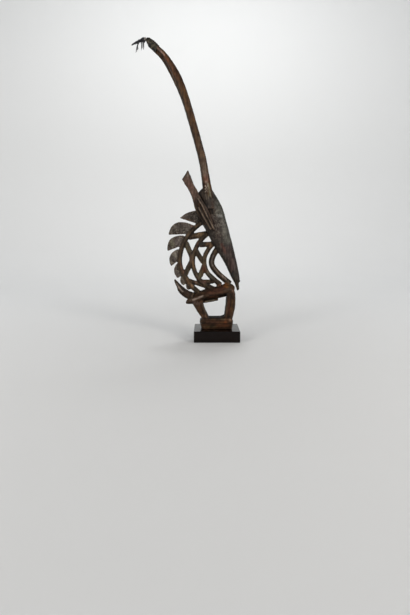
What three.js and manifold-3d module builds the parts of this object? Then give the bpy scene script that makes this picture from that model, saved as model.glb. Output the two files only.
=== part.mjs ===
// A tall antelope dance crest, carved from one piece of dark wood: a small antelope on its own base,
// a pierced mane of arcs, struts and fins, a long face, two grooved ears and two long horns.
// It stands on a black wooden plinth. A hide binding holds the two horn tips together, and a tuft of
// hair is tied into the end of the binding with thread.
// Millimetres, +Z up, the muzzle towards +X. The origin is the middle of the plinth's underside.
import * as THREE from "three";
import { mergeVertices } from "three/addons/utils/BufferGeometryUtils.js";
import Module from "manifold-3d";

const wasm = await Module();
wasm.setup();

// Space between pieces that touch
const GAP = 0.3;

const PLINTH = { left: -92, right: 92, depth: 160, height: 46, edge: 1.5 };
const BASE = { left: -67, right: 64, depth: 66, height: 43.5, edge: 4 };

// Legs stand in pairs with an open slot between them, rooted in the base and the belly
const LEGS = { depth: 52, slot: 16, rooted: 5 };
// Left and right edges in side view, at each height
const FRONT_LEG = { top: [40, 74, 165], ankle: [35, 71, 112], foot: [34, 64], rooted: 200 };
const HIND_LEG = { top: [-96, -57, 150], foot: [-62, -37], rooted: 170 };
// The slot's ceiling rises towards the chest
const SLOT = { hind: [-110, 140], front: [90, 152] };

// Sections along the body, from the rump to the chest: middle x, middle z, half height, half width
const BODY_SECTIONS = [
  [-106, 166, 5, 6],
  [-88, 172, 15, 19],
  [-55, 181, 24, 26],
  [-15, 189, 25, 24],
  [25, 199, 25, 24],
  [48, 210, 26, 24],
  [61, 208, 20, 20],
  [70, 199, 11, 14],
];
const SHEATH = { from: [-58, 158], to: [5, 167], width: 11, depth: 14 };
const HOCK = { depth: 22 };
const HOCK_OUTLINE = [[-127, 149], [-100, 147], [-80, 160], [-108, 175], [-122, 160]];
const TAIL = { half: 14, depth: 9 };
const TAIL_PATH = [[-174, 246], [-160, 220], [-139, 198], [-111, 184], [-82, 179]];

// Sections down the head, from the crown to the chin: forehead x and z, nape or throat x and z, half width
const HEAD_SECTIONS = [
  [-28, 616, -68, 604, 37],
  [-5, 579, -82, 560, 41],
  [20, 534, -76, 500, 40],
  [41, 465, -46, 447, 34],
  [59, 396, -9, 382, 28],
  [80, 312, 32, 314, 20],
  [93, 252, 62, 254, 14],
  [92, 222, 74, 222, 9],
  [87, 204, 81, 204, 4],
];
// The face is broader towards the nape than along the forehead
const HEAD_TAPER = 0.25;
const LIP = { from: [80, 244], to: [96, 240], width: 5, depth: 14 };

// An ear is a flat slat with a sunk channel down its lower part, tied to the cheek by a block behind it.
// It leans outwards from its foot by so many degrees
const EAR = { inner: 34, outer: 47, groove: 7, grooveWidth: 15, lean: 4, foot: 448 };
const EAR_OUTLINE = [
  [-113, 669], [-94, 624], [-72, 584], [-51, 545], [-34, 515], [-20, 476], [-11, 447],
  [-28, 448], [-54, 478], [-77, 506], [-90, 530], [-96, 557], [-103, 587], [-115, 611], [-135, 634],
];
const EAR_GROOVE = [[-80, 560], [-21, 452]];
const EAR_ROOT = { from: [-78, 540], to: [-40, 470], width: 26, inner: 20 };

// One horn's middle line in side view, from inside the crown to the tip
const HORN_PATH = [
  [-30, 556], [-38, 594], [-45, 636], [-58.5, 715], [-80, 795], [-102, 870],
  [-124, 941], [-147.5, 1002], [-174.5, 1057], [-208, 1104], [-268, 1152],
];
// Radii, how far the far horn hangs lower at its tip, and the ratio of a horn's width to its depth
const HORN = { base: 17.5, shaft: 12.9, tip: 5.6, sag: 9, flat: 0.9 };
// Half the distance between the horns: inside the crown, along the shafts, and at the tips
const HORN_SPREAD = { root: 15, shaft: 27, tip: 8 };
// Parts of a horn's length over which it leaves its twin, flares at the root, thins, and closes in again
const HORN_RUN = { parts: [0, 0.3], flares: [0.1, 0.32], thins: [0.69, 0.96], closes: [0.55, 0.955] };

// The mane: two round arcs, one looser arc, a bent throat bar, and struts between them
const MANE_DEPTH = 24;
const ARC_WIDTH = 18;
const OUTER_ARC = [
  [-56, 482], [-102, 443], [-135, 395], [-151, 341], [-148, 296], [-131, 262], [-103, 222], [-74, 196],
];
const INNER_ARC = [
  [-36, 436], [-74, 398], [-93, 358], [-99, 322], [-92, 283], [-74, 249], [-46, 224], [-12, 206],
];
const FACE_ARC = [[-6, 402], [-36, 371], [-52, 328], [-45, 284], [-27, 259], [14, 222]];
const THROAT_BAR = [[12, 388], [-11, 352], [-24, 318], [-15, 296], [8, 268], [50, 232]];
const THROAT_WIDTH = 21;
// Each strut: from, to, width
const STRUTS = [
  [[-114, 420], [-40, 432], 22],
  [[-128, 396], [-101, 343], 18],
  [[-103, 312], [-132, 269], 18],
  [[-112, 239], [-45, 217], 19],
  [[-70, 389], [-18, 392], 19],
  [[-88, 369], [-56, 319], 17],
  [[-54, 300], [-73, 260], 17],
  [[-72, 239], [-14, 237], 13],
];

// Fins on the outer arc, measured round the mane's middle: angles of the root's two ends and of the
// tip, the tip's reach, and how far the curved edge bellies out beyond it
const MANE_MIDDLE = [0, 333];
const FIN_ROOT = { buried: 150, top: 164, bottom: 162 };
const FINS = [
  { root: [126, 142], tip: 153.8, reach: 215, belly: 1.14 },
  { root: [146, 162.5], tip: 171.1, reach: 200, belly: 1.12 },
  { root: [167, 183.5], tip: 189, reach: 186, belly: 1.11 },
  { root: [187, 205], tip: 205.8, reach: 177, belly: 1.08 },
  { root: [207, 219], tip: 218.5, reach: 175, belly: 1.01 },
  { root: [220, 230], tip: 228.5, reach: 170, belly: 1.01 },
];
const FIN_DEPTH = 15;
// The topmost fin grows from the nape
const NAPE_FIN = { top: [-78, 523], belly: [-118, 522], tip: [-147, 494], bottom: [-76, 471] };

// The binding's half height and half depth, from its mouth to its end
const BINDING = { from: [-235, 1123], to: [-272, 1152], high: [14, 15, 12, 7], deep: [17, 16, 13, 7] };
// The tuft leaves the binding along its axis and then droops
const TUFT = { radii: [3.2, 3.2, 5.5, 6, 1] };
const TUFT_DROOP = [[0, 0], [-7, 5.5], [-23, -2], [-40, -12], [-57, -21]];
const THREAD = { ring: 5.6, cord: 1.7, along: 0.16 };

const BROWN = new THREE.MeshStandardMaterial({ color: 0x4a3224, roughness: 0.5, metalness: 0 });
const BLACK = new THREE.MeshStandardMaterial({ color: 0x17110f, roughness: 0.2, metalness: 0 });
const HIDE = new THREE.MeshStandardMaterial({ color: 0x4a4536, roughness: 0.7, metalness: 0 });
const HAIR = new THREE.MeshStandardMaterial({ color: 0x14141c, roughness: 0.5, metalness: 0 });
const COTTON = new THREE.MeshStandardMaterial({ color: 0xb8b0a0, roughness: 0.9, metalness: 0 });

// A closed geometry as a solid that can be joined and cut
function solid(geometry) {
  geometry.deleteAttribute("normal");
  geometry.deleteAttribute("uv");
  const merged = mergeVertices(geometry, 1e-4);
  return new wasm.Manifold(
    new wasm.Mesh({
      numProp: 3,
      vertProperties: merged.attributes.position.array,
      triVerts: new Uint32Array(merged.index.array),
    }),
  );
}

// A solid as a named mesh
function mesh(name, body, material) {
  const { vertProperties, triVerts } = body.getMesh();
  const geometry = new THREE.BufferGeometry();
  geometry.setAttribute("position", new THREE.BufferAttribute(vertProperties, 3));
  geometry.setIndex(new THREE.BufferAttribute(triVerts, 1));
  geometry.computeVertexNormals();
  const made = new THREE.Mesh(geometry, material);
  made.name = name;
  return made;
}

const join = (bodies) => bodies.reduce((whole, body) => whole.add(body));

// A side-view outline given depth across the crest, about the plane y = middle
function panel(shape, depth, middle = 0) {
  const slab = new THREE.ExtrudeGeometry(shape, { depth, bevelEnabled: false, curveSegments: 8 });
  return solid(slab.translate(0, 0, -depth / 2).rotateX(Math.PI / 2).translate(0, middle, 0));
}

const outline = (points) => new THREE.Shape(points.map(([x, z]) => new THREE.Vector2(x, z)));

// A bar of even width along a side-view curve
function bar(curve, width, steps) {
  const near = [];
  const far = [];
  for (let i = 0; i <= steps; i++) {
    const at = curve.getPoint(i / steps);
    const along = curve.getTangent(i / steps);
    const across = new THREE.Vector2(-along.y, along.x).multiplyScalar(width / 2);
    near.push(at.clone().add(across));
    far.unshift(at.clone().sub(across));
  }
  return new THREE.Shape([...near, ...far]);
}

const spline = (points) => new THREE.SplineCurve(points.map(([x, z]) => new THREE.Vector2(x, z)));

function strut(from, to, width, depth, middle) {
  const line = new THREE.LineCurve(new THREE.Vector2(...from), new THREE.Vector2(...to));
  return panel(bar(line, width, 1), depth, middle);
}

// A smooth value through a few evenly spaced ones
function through(values) {
  const line = new THREE.SplineCurve(values.map((value, i) => new THREE.Vector2(i, value)));
  return (t) => line.getPoint(t).y;
}

// A rounded form: a cylinder whose rings are carried along by place(t, across, depth), where the last
// two are a point of the unit circle, or 0, 0 for the middle of an end
function loft(place, sides, steps) {
  const form = new THREE.CylinderGeometry(1, 1, 1, sides, steps);
  const points = form.attributes.position;
  for (let i = 0; i < points.count; i++) {
    const [x, y, z] = place(points.getY(i) + 0.5, points.getX(i), points.getZ(i));
    points.setXYZ(i, x, y, z);
  }
  return solid(form);
}

// The unit normal of a side-view curve, to the left of its direction
function leftOf(curve, t) {
  const along = curve.getTangent(t);
  return [-along.y, along.x];
}

function base() {
  const { left, right, depth, height, edge } = BASE;
  const bottom = PLINTH.height + GAP;
  const shape = outline([
    [left + edge, bottom], [right - edge, bottom], [right, bottom + edge], [right, bottom + height - edge],
    [right - edge, bottom + height], [left + edge, bottom + height], [left, bottom + height - edge],
    [left, bottom + edge],
  ]);
  return panel(shape, depth);
}

function legs() {
  const top = PLINTH.height + BASE.height;
  const floor = top - LEGS.rooted;
  const { top: chest, ankle, foot, rooted } = FRONT_LEG;
  const front = outline([
    [foot[0], floor], [foot[1], floor], [ankle[1], ankle[2]], [chest[1], chest[2]],
    [chest[1], rooted], [chest[0], rooted], [ankle[0], ankle[2]],
  ]);
  const haunch = HIND_LEG.top;
  const hind = outline([
    [HIND_LEG.foot[0], floor], [HIND_LEG.foot[1], floor], [haunch[1], haunch[2]],
    [haunch[1], HIND_LEG.rooted], [haunch[0], HIND_LEG.rooted], [haunch[0], haunch[2]],
  ]);
  const gap = outline([[SLOT.hind[0], top + GAP], [SLOT.front[0], top + GAP], SLOT.front, SLOT.hind]);
  return panel(front, LEGS.depth).add(panel(hind, LEGS.depth)).subtract(panel(gap, LEGS.slot));
}

function body() {
  const [x, z, half, width] = [0, 1, 2, 3].map((column) => through(BODY_SECTIONS.map((row) => row[column])));
  const axis = spline(BODY_SECTIONS);
  return loft(
    (t, across, depth) => {
      const [nx, nz] = leftOf(axis, t);
      return [x(t) + nx * half(t) * across, width(t) * depth, z(t) + nz * half(t) * across];
    },
    14,
    20,
  );
}

function tail() {
  const path = spline(TAIL_PATH);
  const swell = (t) => Math.sin(Math.PI * (0.04 + 0.72 * t)) ** 0.8;
  return loft(
    (t, across, depth) => {
      const at = path.getPoint(t);
      const [nx, nz] = leftOf(path, t);
      const half = TAIL.half * swell(t);
      return [at.x + nx * half * across, TAIL.depth * swell(t) * depth, at.y + nz * half * across];
    },
    10,
    10,
  );
}

function rump() {
  const hock = panel(outline(HOCK_OUTLINE), HOCK.depth);
  return hock.add(strut(SHEATH.from, SHEATH.to, SHEATH.width, SHEATH.depth));
}

function head() {
  const column = (i) => through(HEAD_SECTIONS.map((row) => row[i]));
  const [frontX, frontZ, backX, backZ, width] = [0, 1, 2, 3, 4].map(column);
  const face = loft(
    (down, across, depth) => {
      const t = 1 - down;
      const reach = (1 + across) / 2;
      return [
        THREE.MathUtils.lerp(backX(t), frontX(t), reach),
        -width(t) * depth * (1 - HEAD_TAPER * across),
        THREE.MathUtils.lerp(backZ(t), frontZ(t), reach),
      ];
    },
    16,
    24,
  );
  return face.add(strut(LIP.from, LIP.to, LIP.width, LIP.depth));
}

function ear(side) {
  const thick = EAR.outer - EAR.inner;
  const slat = panel(outline(EAR_OUTLINE), thick, side * (EAR.inner + thick / 2));
  const groove = strut(...EAR_GROOVE, EAR.grooveWidth, EAR.groove * 2, side * EAR.outer);
  const { from, to, width, inner } = EAR_ROOT;
  const root = strut(from, to, width, EAR.inner - inner, (side * (EAR.inner + inner)) / 2);
  const lean = side * THREE.MathUtils.degToRad(EAR.lean);
  const leaning = new THREE.Matrix4().makeShear(0, 0, 0, 0, 0, Math.tan(lean));
  leaning.premultiply(new THREE.Matrix4().makeTranslation(0, -EAR.foot * Math.tan(lean), 0));
  return slat.subtract(groove).add(root).transform(leaning.elements);
}

const hornPath = spline(HORN_PATH);
// How far a horn has closed in on its twin
const closing = (t) => THREE.MathUtils.smoothstep(t, ...HORN_RUN.closes);

// The middle of a horn at t: the far one hangs a little lower towards its tip
function hornMiddle(t, side) {
  const at = hornPath.getPoint(t);
  const [nx, nz] = leftOf(hornPath, t);
  const sag = side > 0 ? HORN.sag * closing(t) : 0;
  const parting = THREE.MathUtils.smoothstep(t, ...HORN_RUN.parts);
  const apart =
    THREE.MathUtils.lerp(HORN_SPREAD.root, HORN_SPREAD.shaft, parting) +
    (HORN_SPREAD.tip - HORN_SPREAD.shaft) * closing(t);
  return [at.x + nx * sag, side * apart, at.y + nz * sag];
}

// One horn, or the room it takes up when it is grown by extra
function horn(side, extra = 0) {
  const radius = (t) => {
    const thinned = THREE.MathUtils.smoothstep(t, ...HORN_RUN.thins);
    const flare = THREE.MathUtils.clamp(1 - (t - HORN_RUN.flares[0]) / HORN_RUN.flares[1], 0, 1) ** 2;
    return extra + THREE.MathUtils.lerp(HORN.shaft, HORN.tip, thinned) + (HORN.base - HORN.shaft) * flare;
  };
  return loft(
    (t, across, depth) => {
      const [x, y, z] = hornMiddle(t, side);
      const [nx, nz] = leftOf(hornPath, t);
      const r = radius(t);
      return [x + nx * r * across, y + HORN.flat * r * depth, z + nz * r * across];
    },
    10,
    42,
  );
}

function mane() {
  const bars = [
    bar(spline(OUTER_ARC), ARC_WIDTH, 28),
    bar(spline(INNER_ARC), ARC_WIDTH, 24),
    bar(spline(FACE_ARC), ARC_WIDTH - 1, 18),
    bar(spline(THROAT_BAR), THROAT_WIDTH, 16),
  ];
  const struts = STRUTS.map(([from, to, width]) => strut(from, to, width, MANE_DEPTH - 4));
  return join([...bars.map((shape) => panel(shape, MANE_DEPTH)), ...struts]);
}

// A fin's outline: a full curve out to the tip and a straight edge back
function fin({ root, tip, reach, belly }) {
  const [cx, cz] = MANE_MIDDLE;
  const at = (degrees, radius) => {
    const angle = THREE.MathUtils.degToRad(degrees);
    return [cx + radius * Math.cos(angle), cz + radius * Math.sin(angle)];
  };
  const swell = at(THREE.MathUtils.lerp(root[0], tip, 0.38), reach * belly);
  const shape = new THREE.Shape();
  shape.moveTo(...at(root[0] + 2, FIN_ROOT.buried));
  shape.lineTo(...at(root[0], FIN_ROOT.top));
  shape.quadraticCurveTo(...swell, ...at(tip, reach));
  shape.lineTo(...at(root[1], FIN_ROOT.bottom));
  shape.lineTo(...at(root[1] - 2, FIN_ROOT.buried));
  return panel(shape, FIN_DEPTH);
}

function napeFin() {
  const shape = new THREE.Shape();
  shape.moveTo(...NAPE_FIN.top);
  shape.quadraticCurveTo(...NAPE_FIN.belly, ...NAPE_FIN.tip);
  shape.lineTo(...NAPE_FIN.bottom);
  return panel(shape, FIN_DEPTH);
}

function crest() {
  return join([
    base(), legs(), body(), tail(), rump(), mane(), ...FINS.map(fin), napeFin(), head(),
    ear(-1), ear(1), horn(-1), horn(1),
  ]);
}

// The binding's axis, from its mouth to its end over the tips
const bindingAxis = new THREE.LineCurve(
  new THREE.Vector2(...BINDING.from),
  new THREE.Vector2(...BINDING.to),
);
const bindingEnd = bindingAxis.getPoint(1).addScaledVector(bindingAxis.getTangent(1), GAP);

// A hide sleeve over both tips, with room for them inside
function binding() {
  const high = through(BINDING.high);
  const deep = through(BINDING.deep);
  const [nx, nz] = leftOf(bindingAxis, 0);
  const sleeve = loft(
    (t, across, depth) => {
      const at = bindingAxis.getPoint(t);
      return [at.x + nx * high(t) * across, deep(t) * depth, at.y + nz * high(t) * across];
    },
    14,
    10,
  );
  return sleeve.subtract(horn(-1, GAP)).subtract(horn(1, GAP));
}

const tuftPath = spline(TUFT_DROOP.map(([x, z]) => [bindingEnd.x + x, bindingEnd.y + z]));

function tuft() {
  const radius = through(TUFT.radii);
  return loft(
    (t, across, depth) => {
      const at = tuftPath.getPoint(t);
      const [nx, nz] = leftOf(tuftPath, t);
      return [at.x + nx * radius(t) * across, radius(t) * depth, at.y + nz * radius(t) * across];
    },
    10,
    12,
  );
}

// The turns of thread round the tuft's neck, as one ring
function thread() {
  const at = tuftPath.getPoint(THREAD.along);
  const along = tuftPath.getTangent(THREAD.along);
  const ring = new THREE.TorusGeometry(THREAD.ring, THREAD.cord, 8, 16);
  ring.rotateY(Math.PI / 2).rotateY(-Math.atan2(along.y, along.x)).translate(at.x, 0, at.y);
  return solid(ring);
}

function plinth() {
  const { left, right, depth, height, edge } = PLINTH;
  const shape = outline([
    [left, 0], [right, 0], [right, height - edge], [right - edge, height],
    [left + edge, height], [left, height - edge],
  ]);
  return panel(shape, depth);
}

const headdress = new THREE.Group();
headdress.add(
  mesh("crest_carving", crest(), BROWN),
  mesh("plinth", plinth(), BLACK),
  mesh("tip_binding", binding(), HIDE),
  mesh("hair_tuft", tuft(), HAIR),
  mesh("tuft_thread", thread(), COTTON),
);

export default headdress;
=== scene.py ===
import math
import random

import bmesh
import bpy
import numpy as np
from mathutils import Matrix, Vector, noise
from mathutils.bvhtree import BVHTree


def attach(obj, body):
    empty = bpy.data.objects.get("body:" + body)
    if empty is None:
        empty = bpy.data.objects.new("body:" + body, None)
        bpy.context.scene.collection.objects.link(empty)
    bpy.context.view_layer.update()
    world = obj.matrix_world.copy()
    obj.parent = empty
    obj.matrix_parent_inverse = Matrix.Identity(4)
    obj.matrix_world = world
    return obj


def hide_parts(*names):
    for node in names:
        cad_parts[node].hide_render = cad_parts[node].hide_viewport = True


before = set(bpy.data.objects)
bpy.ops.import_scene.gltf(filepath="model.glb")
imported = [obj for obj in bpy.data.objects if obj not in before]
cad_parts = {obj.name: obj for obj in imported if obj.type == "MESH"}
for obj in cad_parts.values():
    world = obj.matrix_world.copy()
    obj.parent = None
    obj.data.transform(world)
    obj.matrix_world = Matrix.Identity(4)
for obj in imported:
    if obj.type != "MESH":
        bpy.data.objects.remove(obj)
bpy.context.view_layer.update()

# Crest carving: one piece of dark hardwood, cut with an adze and then a knife. It takes in the low base
# block, two pairs of legs, the body and tail, the pierced mane, the long face, the ears and the horns.
# Handling has polished its high places, and oil and soot have blackened the hollows, which are painted
# darker still as shade.

# Lengths are in millimetres, and MM turns them to metres
MM = 0.001
carving = bmesh.new()
part_layer = carving.faces.layers.int.new("part")
PARTS = ["block", "leg", "body", "tail", "bar", "fin", "head", "ear", "horn"]


def spline(points):
    """A smooth line through points. The function it gives turns t, from 0 to 1, into place and direction"""
    points = [Vector(point) for point in points]
    last = len(points) - 1

    def at(t):
        run = min(max(t, 0.0), 1.0) * last
        i = min(int(run), last - 1)
        u = run - i
        start, end = points[i], points[i + 1]
        leave = (end - points[max(i - 1, 0)]) / 2
        arrive = (points[min(i + 2, last)] - start) / 2
        bend = 2 * start - 2 * end + leave + arrive
        pull = 3 * end - 3 * start - 2 * leave - arrive
        place = bend * u**3 + pull * u**2 + leave * u + start
        along = 3 * bend * u**2 + 2 * pull * u + leave
        return place, along.normalized()

    return at


def left_of(along):
    return Vector((-along.y, along.x))


def smoothstep(x, low, high):
    x = min(max((x - low) / (high - low), 0.0), 1.0)
    return x * x * (3 - 2 * x)


def lerp(a, b, t):
    return a + (b - a) * t

def meshed(form, name):
    """A finished form as a mesh"""
    mesh = bpy.data.meshes.new(name)
    form.to_mesh(mesh)
    form.free()
    return mesh


def keep(form, part, warp=None):
    """Adds a finished form to the carving, and notes which part of the animal it is"""
    for vert in form.verts if warp else ():
        vert.co = warp(vert.co)
    mesh = meshed(form, "form")
    carving.from_mesh(mesh)
    bpy.data.meshes.remove(mesh)
    for face in carving.faces:
        if face[part_layer] == 0:
            face[part_layer] = PARTS.index(part) + 1


def tube(place, sides, steps):
    """A closed rounded form. place(t, across, depth) puts each point of a unit tube"""
    form = bmesh.new()
    bmesh.ops.create_cone(form, cap_ends=True, cap_tris=True, segments=sides, radius1=1, radius2=1, depth=1)
    uprights = [edge for edge in form.edges if abs(edge.verts[0].co.z - edge.verts[1].co.z) > 0.5]
    bmesh.ops.subdivide_edges(form, edges=uprights, cuts=steps - 1)
    for vert in form.verts:
        vert.co = place(vert.co.z + 0.5, vert.co.x, vert.co.y)
    return form


def loft(part, place, sides, steps, warp=None):
    keep(tube(place, sides, steps), part, warp)


def slab(part, points, depth, eased, middle=0.0, warp=None):
    """A side-view outline given depth across the crest, with its long edges eased"""
    form = bmesh.new()
    face = form.faces.new([form.verts.new((x, middle - depth / 2, z)) for x, z in points])
    raised = bmesh.ops.extrude_face_region(form, geom=[face])["geom"]
    verts = [item for item in raised if isinstance(item, bmesh.types.BMVert)]
    bmesh.ops.translate(form, verts=verts, vec=(0, depth, 0))
    edges = [edge for edge in form.edges if abs(edge.verts[0].co.y - edge.verts[1].co.y) < 0.01]
    bmesh.ops.bevel(
        form, geom=edges, offset=eased, segments=2, profile=0.5, affect="EDGES", material=-1
    )
    keep(form, part, warp)


def off_line(line, t, out, deep):
    """The point that lies out to the left of a side-view line at t, and deep across the crest"""
    centre, along = line(t)
    left = left_of(along)
    return centre.x + left.x * out, deep, centre.y + left.y * out


def bar(part, path, half, ridge, wall, steps, middle=0.0, warp=None):
    """A bar along a side-view line: square narrow edges, and a low ridge down each broad face"""
    line = spline(path)
    size = half if callable(half) else lambda t: half

    def place(t, across, depth):
        # Of the tube's eight lines, the two at the middle of its broad faces become the ridges
        if abs(across) < 0.1:
            return off_line(line, t, 0.0, middle + math.copysign(ridge, depth))
        return off_line(line, t, math.copysign(size(t), across), middle + wall * depth * math.sqrt(2))

    loft(part, place, sides=8, steps=steps, warp=warp)


# The base block swells a little above its middle
BLOCK = [
    (-60, 46.3), (-64, 50), (-66, 60), (-69.5, 70), (-70, 79), (-66, 82), (-58, 90), (20, 91), (56, 91.5),
    (62, 87), (66, 79), (65, 68), (63, 56), (61, 46.3),
]
slab("block", BLOCK, depth=64, eased=3.5)

# Legs, in pairs with a slot between them: the outline of each in side view
FRONT_LEG = [
    (31, 84), (32, 99), (34.5, 122), (37.5, 150), (39.5, 174), (42, 205),
    (70, 205), (75, 190), (75.5, 152), (73.5, 131), (69, 110), (65, 95), (63, 86), (60, 80), (34, 80),
]
HIND_LEG = [
    (-65, 80), (-60.5, 90), (-69, 101), (-80, 117), (-90, 134), (-98, 148), (-96, 168), (-57, 172),
    (-58, 153), (-54, 138), (-47.5, 120), (-41.5, 108), (-36.5, 98), (-32, 86), (-36, 78), (-62, 78),
]
LEG = {"middle": 17.5, "depth": 21, "eased": 5, "tuck": 0.74}
for side in (-1, 1):
    for outline, low, high in ((FRONT_LEG, 160, 200), (HIND_LEG, 145, 172)):

        def tucked(spot, low=low, high=high):
            """The top of a leg draws in under the body, so that shoulder and flank run on smoothly"""
            return spot.x, spot.y * lerp(1, LEG["tuck"], smoothstep(spot.z, low, high)), spot.z

        slab("leg", outline, LEG["depth"], LEG["eased"], side * LEG["middle"], tucked)

# The instep in front of each foot, a low swelling on the block's top
INSTEP = [(8, 86), (24, 89), (38, 93)]
for side in (-1, 1):
    bar(
        "block", INSTEP, half=lambda t: lerp(3, 7, t), ridge=9, wall=8, steps=6,
        middle=side * LEG["middle"],
    )

# The body: middle x, middle z, half height and half width, from the rump to the chest
BODY = [
    (-106, 166, 5, 6), (-88, 172, 15, 17), (-55, 181, 23, 23), (-15, 190, 23.5, 22), (20, 198, 24.5, 23),
    (44, 207.5, 24.5, 24), (59, 207, 20.5, 20), (70.2, 203.3, 11, 12),
]
FLANK_FALL = 0.16


def column(rows, i):
    return spline([(n, row[i]) for n, row in enumerate(rows)])


body_axis = spline([(x, z) for x, z, _, _ in BODY])
body_height, body_width = column(BODY, 2), column(BODY, 3)


def body_place(t, across, depth):
    # Two long planes meet in a soft ridge along the flank
    flank = 1 - FLANK_FALL * (abs(across) ** 1.2) * (1 - across**4)
    return off_line(body_axis, t, body_height(t)[0].y * across, body_width(t)[0].y * depth * flank)


loft("body", body_place, sides=28, steps=50)


def leaf(t, start, length):
    """How full a leaf is at t, from 0 at its points to 1, when t runs over a stretch of its length"""
    return math.sin(math.pi * (start + length * t)) ** 0.8


# The haunch stands out from the flank as a long leaf with a sharp upper edge
haunch_line = spline([(-107, 160), (-98, 169), (-72, 178), (-44, 186), (-24, 194)])
HAUNCH = {"middle": 20, "half": 11, "drop": 3, "proud": 8}
for side in (-1, 1):

    def haunch_place(t, across, depth, side=side):
        swell = leaf(t, start=0.1, length=0.86)
        out = HAUNCH["half"] * swell * across - HAUNCH["drop"] * swell
        return off_line(haunch_line, t, out, side * HAUNCH["middle"] + HAUNCH["proud"] * swell * depth)

    loft("body", haunch_place, sides=12, steps=24)

# The belly strip ends in a square step, and the hock points back under the tail
BELLY_STRIP = [(-60, 156), (-28, 161.5), (4, 167.5)]
HOCK_TOP = [(-126, 154), (-112, 158), (-92, 162)]
HOCK = [(-129, 153), (-126, 147), (-100, 146), (-80, 156), (-104, 169), (-119, 159.5)]
bar("body", BELLY_STRIP, half=6.5, ridge=9, wall=7.5, steps=8)
bar("leg", HOCK_TOP, half=lambda t: lerp(4.5, 12, min(1, 1.6 * t)), ridge=11, wall=7, steps=10)
slab("leg", HOCK, depth=18, eased=3)

# The tail is a crescent with a ridge down each side, which lies nearer its outer edge
tail_line = spline([
    (-174, 248), (-156.7, 220.5), (-145.8, 204.3), (-124.5, 187.5), (-106, 180.5), (-82, 179),
])
TAIL = {"half": 16.8, "depth": 9.5, "ridge_out": 0.3}


def tail_place(t, across, depth):
    swell = leaf(t, start=0.03, length=0.72)
    out = TAIL["half"] * swell * (across - TAIL["ridge_out"] * depth * depth)
    return off_line(tail_line, t, out, TAIL["depth"] * swell * (math.copysign(abs(depth) ** 1.5, depth)))


loft("tail", tail_place, sides=16, steps=30)

# The mane: two round arcs, a looser arc and the bent throat bar, with struts between them
OUTER_ARC = [
    (-56, 482), (-102, 443), (-135, 395), (-151, 341), (-148, 296), (-131, 262), (-104.5, 221), (-76, 195),
]
INNER_ARC = [
    (-36, 436), (-72.5, 398), (-92, 358), (-99, 322), (-92, 283), (-74, 249), (-47, 223.5), (-12, 206),
]
FACE_ARC = [(-5, 402), (-34.5, 371), (-52, 330), (-44.5, 285), (-24, 258), (15, 225)]
THROAT_BAR = [
    (12, 388), (-10, 355), (-19, 335), (-22.5, 317), (-18, 301), (-5.5, 283), (15, 262), (53.5, 230),
]
ARC = {"ridge": 12.5, "wall": 7}
bar("bar", OUTER_ARC, half=9, **ARC, steps=60)
# The two inner arcs widen where they run into the back
bar("bar", INNER_ARC, half=lambda t: lerp(8.6, 11, smoothstep(t, 0.62, 0.9)), **ARC, steps=50)
bar("bar", FACE_ARC, half=lambda t: lerp(8.4, 9.6, smoothstep(t, 0.55, 1)), **ARC, steps=40)
bar("bar", THROAT_BAR, half=11, ridge=14, wall=7, steps=50)
STRUTS = [
    ((-114, 418.5), (-40, 432), 11.4), ((-125.5, 396), (-103, 340), 10), ((-105.5, 317), (-129.5, 269), 9.8),
    ((-112, 241.5), (-45, 219), 7.8), ((-70, 388), (-18, 391), 9.8), ((-88, 369), (-57, 317), 9.2),
    ((-52.5, 303), (-70, 259), 10), ((-72, 239), (-14, 238), 7.6),
    # Webs left in the corners where bars meet
    ((-106.5, 341), (-107, 315), 6), ((2.5, 236), (6, 214), 5.5),
]
for start, end, half in STRUTS:
    bar("bar", [start, end], half, ridge=10.5, wall=6, steps=6)

# Fins on the outer arc, by degrees and reach round the mane's middle: where the root starts and ends, the
# tip, its reach, and how far the upper edge bellies out
MANE_MIDDLE = Vector((0, 333))
FINS = [
    ((126, 142.6), 154.2, 218, 1.14), ((146, 162.8), 171.4, 203.5, 1.12), ((167, 184), 189.4, 189.5, 1.11),
    ((187, 205.4), 206.4, 180.5, 1.08), ((207, 219), 218.4, 176.5, 1.05), ((220, 230), 227.8, 171.5, 1.04),
]
FIN = {"buried": 150, "top": 164, "bottom": 162, "inset": 2, "lean": 0.38, "depth": 15, "tip": 0.5}


def arch(start, pull, end, steps=10):
    """Points of a curve from start to end that leans towards pull"""
    return [
        start * (1 - t) ** 2 + pull * 2 * t * (1 - t) + end * t**2
        for t in (n / steps for n in range(steps + 1))
    ]


def round_mane(degrees, reach):
    angle = math.radians(degrees)
    return MANE_MIDDLE + Vector((math.cos(angle), math.sin(angle))) * reach


def fin(points, root, length):
    """A fin as a slab that thins from its root to its tip"""

    def thinned(spot):
        out = (Vector((spot.x, spot.z)) - root).length
        return spot.x, spot.y * lerp(1, FIN["tip"], smoothstep(out, 0, length)), spot.z

    slab("fin", [tuple(point) for point in points], FIN["depth"], eased=3, warp=thinned)


for (first, second), tip, reach, belly in FINS:
    pull = round_mane(lerp(first, tip, FIN["lean"]), reach * belly)
    edge = arch(round_mane(first, FIN["top"]), pull, round_mane(tip, reach))
    foot = [round_mane(second, FIN["bottom"]), round_mane(second - FIN["inset"], FIN["buried"])]
    root_middle = round_mane((first + second) / 2, FIN["buried"])
    fin([round_mane(first + FIN["inset"], FIN["buried"])] + edge + foot, root_middle, reach - FIN["buried"])
# The top fin grows from the nape
nape_edge = arch(Vector((-78, 523)), Vector((-119, 522)), Vector((-149.5, 494)))
fin(nape_edge + [(-82, 473), (-66, 466)], Vector((-70, 498)), length=70)

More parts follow.
